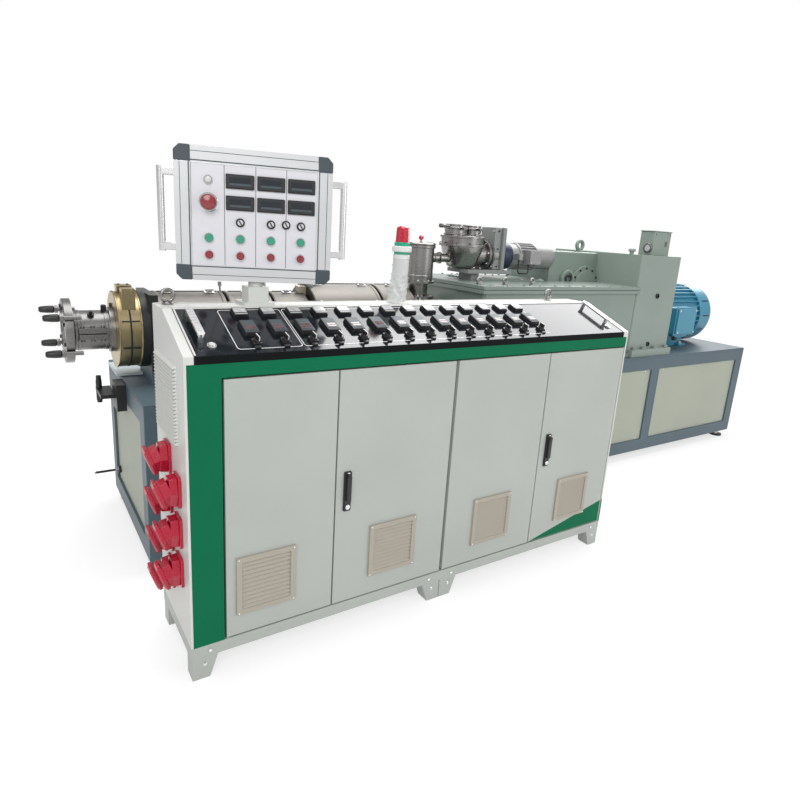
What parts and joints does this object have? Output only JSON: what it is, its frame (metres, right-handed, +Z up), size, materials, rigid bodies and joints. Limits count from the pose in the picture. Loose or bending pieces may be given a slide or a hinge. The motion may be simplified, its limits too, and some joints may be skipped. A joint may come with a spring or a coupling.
{
  "type": "plastic extruder",
  "caption": "Plastic extruder on a welded frame, with gearbox, motor, heated barrel, feeder and a control cabinet with sloping console and swivel operator box.",
  "frame": {"origin": "on the floor under the middle of the machine's outline", "axes": "+X from the die along the machine to the motor, +Y from the operator's side to the back, +Z up"},
  "size_m": [4.8, 1.609, 1.6925],
  "materials": {
    "aluminium": "satin anodised",
    "beacon": "gloss",
    "black_panel": "gloss",
    "black_plastic": "satin",
    "brass": "brushed",
    "cabinet_paint": "fine texture powder coat",
    "dark_steel": "blackened",
    "face_paint": "satin",
    "frame_paint": "satin",
    "gear_paint": "satin",
    "green_paint": "satin",
    "motor_blue": "gloss",
    "motor_grey": "satin",
    "panel_paint": "satin",
    "red_plastic": "gloss",
    "slate_plastic": "satin",
    "stainless": "brushed sheet",
    "steel": "machined",
    "vent_plastic": "satin"
  },
  "bodies": {
    "root": {"barrel": "steel", "barrel_covers": "stainless", "barrel_flange": "dark_steel", "barrel_supports": "frame_paint", "base_deck": "frame_paint", "base_frame": "frame_paint", "base_panels": "panel_paint", "beacon": "beacon", "cabinet_back": "cabinet_paint", "cabinet_ends": "cabinet_paint", "cabinet_floor": "cabinet_paint", "cabinet_legs": "cabinet_paint", "cable_duct": "frame_paint", "console_panel": "black_panel", "console_ridge": "cabinet_paint", "die_adapter": "steel", "end_fittings": "dark_steel", "end_sockets": "red_plastic", "feed_throat": "stainless", "feeder_cable": "black_plastic", "feeder_drive": "gear_paint", "feeder_hopper": "stainless", "feeder_motor": "motor_grey", "feeder_stand": "stainless", "gearbox_housing": "gear_paint", "gearbox_lower": "gear_paint", "gearbox_upper": "gear_paint", "green_band": "green_paint", "heater_band": "brass", "levelling_feet": "dark_steel", "lifting_eyes": "steel", "motor": "motor_blue", "motor_cowl": "motor_blue", "oil_unit": "gear_paint", "operator_post": "cabinet_paint", "panel_handles": "aluminium", "panel_instruments": "black_plastic", "swing_bolts": "black_plastic"},
    "door_1_leaf": {"door_1": "cabinet_paint", "vent_1": "vent_plastic"},
    "door_2_leaf": {"door_2": "cabinet_paint", "vent_2": "vent_plastic", "door_2_handle": "black_plastic"},
    "door_3_leaf": {"door_3": "cabinet_paint", "vent_3": "vent_plastic"},
    "door_4_leaf": {"door_4": "cabinet_paint", "vent_4": "vent_plastic", "door_4_handle": "black_plastic"},
    "operator_head": {"operator_box": "face_paint", "operator_corners": "slate_plastic", "operator_frame": "face_paint", "operator_handles": "aluminium", "operator_instruments": "black_plastic"}
  },
  "joints": [
    {"name": "door_1_hinge", "type": "hinge", "parent": "root", "child": "door_1_leaf", "pos_m": [-1.9915, -0.7715, 0.128], "axis": [0, 0, -1], "range_deg": [0, 85]},
    {"name": "door_2_hinge", "type": "hinge", "parent": "root", "child": "door_2_leaf", "pos_m": [-1.1245, -0.7715, 0.128], "axis": [0, 0, 1], "range_deg": [0, 85]},
    {"name": "door_3_hinge", "type": "hinge", "parent": "root", "child": "door_3_leaf", "pos_m": [-1.0995, -0.7715, 0.128], "axis": [0, 0, -1], "range_deg": [0, 85]},
    {"name": "door_4_hinge", "type": "hinge", "parent": "root", "child": "door_4_leaf", "pos_m": [-0.1325, -0.7715, 0.128], "axis": [0, 0, 1], "range_deg": [0, 85]},
    {"name": "operator_swivel", "type": "hinge", "parent": "root", "child": "operator_head", "pos_m": [-1.78, -0.4395, 1.2675], "axis": [0, 0, 1], "range_deg": [-45, 45]}
  ]
}
